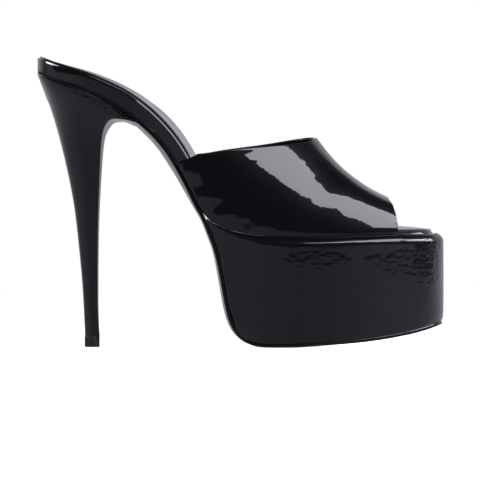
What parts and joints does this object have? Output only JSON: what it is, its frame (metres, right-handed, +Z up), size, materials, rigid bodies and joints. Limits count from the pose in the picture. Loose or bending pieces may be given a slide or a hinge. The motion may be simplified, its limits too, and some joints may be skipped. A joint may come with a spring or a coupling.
{
  "type": "platform mule",
  "caption": "Womens platform mule: tall wrapped platform, covered stiletto heel, one wide glossy vamp band, open toe and open back.",
  "frame": {"origin": "middle of the shoe's floor rectangle, on the floor", "axes": "+X to the toe, +Y to the medial side, +Z up, lateral side at -Y"},
  "size_m": [0.2188, 0.0844, 0.1562],
  "materials": {
    "upper_patent": "gloss black patent leather",
    "insole_patent": "gloss black patent leather over board",
    "sock_lining": "glossy black sock lining",
    "platform_wrap": "light core wrapped in gloss black patent leather",
    "outsole": "satin black sole",
    "heel_cover": "moulded heel wrapped in gloss black patent leather",
    "top_piece": "satin black moulded heel tip"
  },
  "bodies": {
    "root": {"upper": "upper_patent", "insole": "insole_patent", "sock": "sock_lining", "platform": "platform_wrap", "outsole": "outsole", "heel": "heel_cover", "top_piece": "top_piece"}
  },
  "joints": []
}
